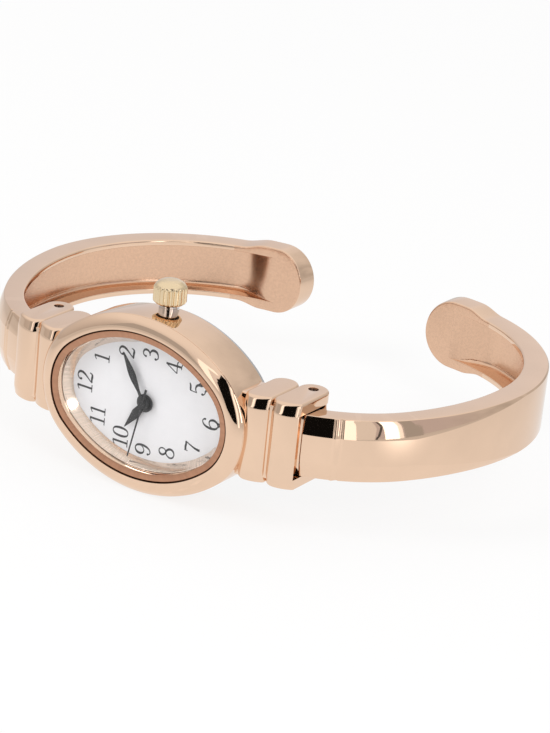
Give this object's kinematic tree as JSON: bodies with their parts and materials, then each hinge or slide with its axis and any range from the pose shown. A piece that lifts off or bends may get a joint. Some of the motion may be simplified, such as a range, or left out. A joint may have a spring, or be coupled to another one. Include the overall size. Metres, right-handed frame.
{
  "type": "cuff watch",
  "caption": "Oval ladies' quartz watch head hinged between two sprung, open-ended bangle arms with rounded tips.",
  "frame": {"origin": "centre of the case back's outer face", "axes": "+Y from the case back towards the wrist, so the dial faces -Y; +X from 12 o'clock to 6 o'clock; +Z along the wrist, from 9 o'clock to 3 o'clock, where the crown is"},
  "size_m": [0.061, 0.0462, 0.022],
  "materials": {
    "rose_gold": "polished rose-gold plating",
    "copper_ring": "matt copper-toned ring",
    "crystal_glass": "clear, polished",
    "dial_white": "white lacquer with a pearly sheen",
    "hand_black": "black lacquer",
    "crown_gold": "polished yellow-gold plating",
    "steel": "polished steel",
    "back_steel": "circular brushed",
    "spring_steel": "drawn wire",
    "movement_brass": "machined, gilt",
    "plate_nickel": "nickel plated, fine grain",
    "magnet": "sintered",
    "coil_copper": "enamelled wire, wound",
    "board_green": "solder resist",
    "holder_plastic": "moulded",
    "seal_rubber": "moulded",
    "seal_clear": "moulded, translucent"
  },
  "bodies": {
    "head": {"case_body": "rose_gold", "case_back": "back_steel", "back_gasket": "seal_rubber", "bezel": "rose_gold", "bezel_ring": "copper_ring", "crystal": "crystal_glass", "crystal_gasket": "seal_clear", "flange_ring": "rose_gold", "dial": "dial_white", "movement_holder": "holder_plastic", "main_plate": "plate_nickel", "train_bridge": "plate_nickel", "bridge_screws": "steel", "stator": "steel", "coil": "coil_copper", "circuit_board": "board_green", "quartz_can": "steel", "battery": "steel", "battery_clip": "movement_brass", "case_tube": "steel", "left_hinge_pin": "steel", "right_hinge_pin": "steel"},
    "left_arm_body": {"left_arm": "rose_gold", "left_hinge_spring": "spring_steel"},
    "right_arm_body": {"right_arm": "rose_gold", "right_hinge_spring": "spring_steel"},
    "crown_slide": {"crown_gasket": "seal_rubber"},
    "crown_turner": {"crown": "crown_gold", "stem": "steel"},
    "clutch_body": {"clutch": "steel"},
    "lever_body": {"setting_lever": "steel"},
    "yoke_body": {"yoke": "steel"},
    "second_body": {"second_wheel": "movement_brass", "second_hand": "hand_black"},
    "third_body": {"third_wheel": "movement_brass"},
    "minute_body": {"centre_wheel": "movement_brass", "minute_hand": "hand_black"},
    "motion_body": {"minute_wheel": "movement_brass"},
    "hour_body": {"hour_wheel": "movement_brass", "hour_hand": "hand_black"},
    "fifth_body": {"fifth_wheel": "movement_brass"},
    "rotor_body": {"rotor": "magnet"}
  },
  "joints": [
    {"name": "right_arm_open", "type": "hinge", "parent": "head", "child": "right_arm_body", "pos_m": [0.016, 0.0007, 0], "axis": [0, 0, -1], "range_deg": [0, 30], "stiffness_Nm_per_rad": 0.12, "springref_deg": -20.05},
    {"name": "left_arm_open", "type": "hinge", "parent": "head", "child": "left_arm_body", "pos_m": [-0.016, 0.0007, 0], "axis": [0, 0, 1], "range_deg": [0, 30], "stiffness_Nm_per_rad": 0.12, "springref_deg": -20.05},
    {"name": "crown_pull", "type": "slide", "parent": "head", "child": "crown_slide", "axis": [0, 0, 1], "range_m": [0, 0.0009]},
    {"name": "crown_turn", "type": "hinge", "parent": "crown_slide", "child": "crown_turner", "pos_m": [0, -0.00245, 0.01], "axis": [0, 0, 1], "continuous": true},
    {"name": "clutch_slide", "type": "slide", "parent": "crown_turner", "child": "clutch_body", "axis": [0, 0, 1], "range_m": [-0.0014, 0]},
    {"name": "lever_swing", "type": "hinge", "parent": "head", "child": "lever_body", "pos_m": [0.002, -0.00245, 0.00575], "axis": [0, 1, 0], "range_deg": [0, 26.1]},
    {"name": "yoke_swing", "type": "hinge", "parent": "head", "child": "yoke_body", "pos_m": [0.0024, -0.00245, 0.00398], "axis": [0, 1, 0], "range_deg": [-13.1, 0]},
    {"name": "second_turn", "type": "hinge", "parent": "head", "child": "second_body", "pos_m": [0, -0.0026, 0], "axis": [0, 1, 0], "continuous": true},
    {"name": "third_turn", "type": "hinge", "parent": "head", "child": "third_body", "pos_m": [-0.00135, -0.0026, -0.00234], "axis": [0, 1, 0], "continuous": true},
    {"name": "minute_turn", "type": "hinge", "parent": "head", "child": "minute_body", "pos_m": [0, -0.0026, 0], "axis": [0, 1, 0], "continuous": true},
    {"name": "motion_turn", "type": "hinge", "parent": "head", "child": "motion_body", "pos_m": [0, -0.0026, 0.002], "axis": [0, 1, 0], "continuous": true},
    {"name": "hour_turn", "type": "hinge", "parent": "head", "child": "hour_body", "pos_m": [0, -0.0026, 0], "axis": [0, 1, 0], "continuous": true},
    {"name": "fifth_turn", "type": "hinge", "parent": "head", "child": "fifth_body", "pos_m": [0.0009, -0.0026, 0.00156], "axis": [0, 1, 0], "continuous": true},
    {"name": "rotor_turn", "type": "hinge", "parent": "head", "child": "rotor_body", "pos_m": [0.00258, -0.0026, 0.00156], "axis": [0, 1, 0], "continuous": true}
  ],
  "couplings": [
    {"joint": "clutch_slide", "follows": "crown_pull", "ratio": -1.5},
    {"joint": "lever_swing", "follows": "crown_pull", "rad_per_m": 504.32},
    {"joint": "yoke_swing", "follows": "crown_pull", "rad_per_m": -250.53},
    {"joint": "third_turn", "follows": "second_turn", "ratio": -0.13333},
    {"joint": "minute_turn", "follows": "second_turn", "ratio": 0.016667},
    {"joint": "motion_turn", "follows": "second_turn", "ratio": -0.0055556},
    {"joint": "hour_turn", "follows": "second_turn", "ratio": 0.0013889},
    {"joint": "fifth_turn", "follows": "second_turn", "ratio": -5},
    {"joint": "rotor_turn", "follows": "second_turn", "ratio": 30}
  ]
}
